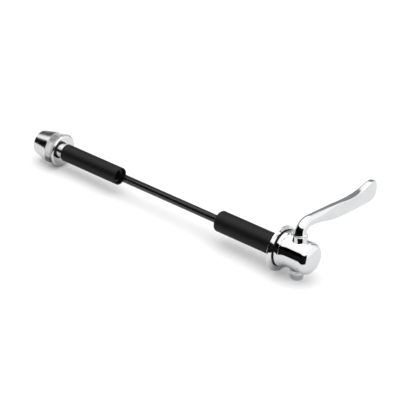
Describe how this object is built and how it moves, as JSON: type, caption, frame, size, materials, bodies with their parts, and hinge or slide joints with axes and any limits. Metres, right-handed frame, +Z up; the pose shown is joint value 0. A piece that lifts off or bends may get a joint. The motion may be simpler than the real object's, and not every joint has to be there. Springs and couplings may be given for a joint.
{
  "type": "thru axle adapter",
  "caption": "Cam lever skewer with a sleeve at each end that fills thru axle dropouts, and a knurled cone nut.",
  "frame": {"origin": "on the axle axis, where the lever-side sleeve meets the clamping flange", "axes": "+X along the axle towards the lever head, +Z up along the cam's axis, +Y along the closed lever"},
  "size_m": [0.1996, 0.0796, 0.0358],
  "materials": {
    "flange_metal": "polished chrome plate",
    "head_metal": "polished chrome plate",
    "bush_metal": "polished steel",
    "lever_metal": "polished forging, softer on the paddle",
    "shaft_metal": "turned steel, oiled",
    "cap_metal": "chrome plate",
    "nut_metal": "polished cone with a knurled band",
    "rod_black": "gloss black plate",
    "sleeve_black": "satin black anodised",
    "washer_black": "black moulded washer",
    "ring_rubber": "smooth rubber",
    "lock_nylon": "natural nylon"
  },
  "bodies": {
    "head": {"head_flange": "flange_metal", "seal_washer": "washer_black", "head_barrel": "head_metal", "upper_bush": "bush_metal", "lower_bush": "bush_metal"},
    "lever": {"lever": "lever_metal", "cam_shaft": "shaft_metal", "cap_washer": "cap_metal", "cap_nut": "cap_metal"},
    "rod": {"skewer_rod": "rod_black", "cam_follower": "shaft_metal"},
    "lever_sleeve": {"lever_sleeve": "sleeve_black", "lever_o_ring": "ring_rubber"},
    "nut_sleeve": {"nut_sleeve": "sleeve_black", "nut_o_ring": "ring_rubber"},
    "nut": {"cone_nut": "nut_metal", "lock_ring": "lock_nylon"}
  },
  "joints": [
    {"name": "lever_swing", "type": "hinge", "parent": "head", "child": "lever", "pos_m": [0.0122, 0, 0], "axis": [0, 0, 1], "range_deg": [-180, 0]},
    {"name": "rod_pull", "type": "slide", "parent": "head", "child": "rod", "axis": [1, 0, 0], "range_m": [-0.0024, 0]},
    {"name": "nut_travel", "type": "slide", "parent": "rod", "child": "nut_sleeve", "axis": [1, 0, 0], "range_m": [-0.004, 0.008]},
    {"name": "nut_turn", "type": "hinge", "parent": "nut_sleeve", "child": "nut", "pos_m": [-0.1591, 0, 0], "axis": [1, 0, 0], "range_deg": [-1800, 3600]},
    {"name": "lever_sleeve_slide", "type": "slide", "parent": "rod", "child": "lever_sleeve", "axis": [1, 0, 0], "range_m": [-0.06, 0]}
  ],
  "couplings": [
    {"joint": "rod_pull", "follows": "lever_swing", "m_per_rad": 0.00076394},
    {"joint": "nut_travel", "follows": "nut_turn", "m_per_rad": 0.00012732}
  ]
}
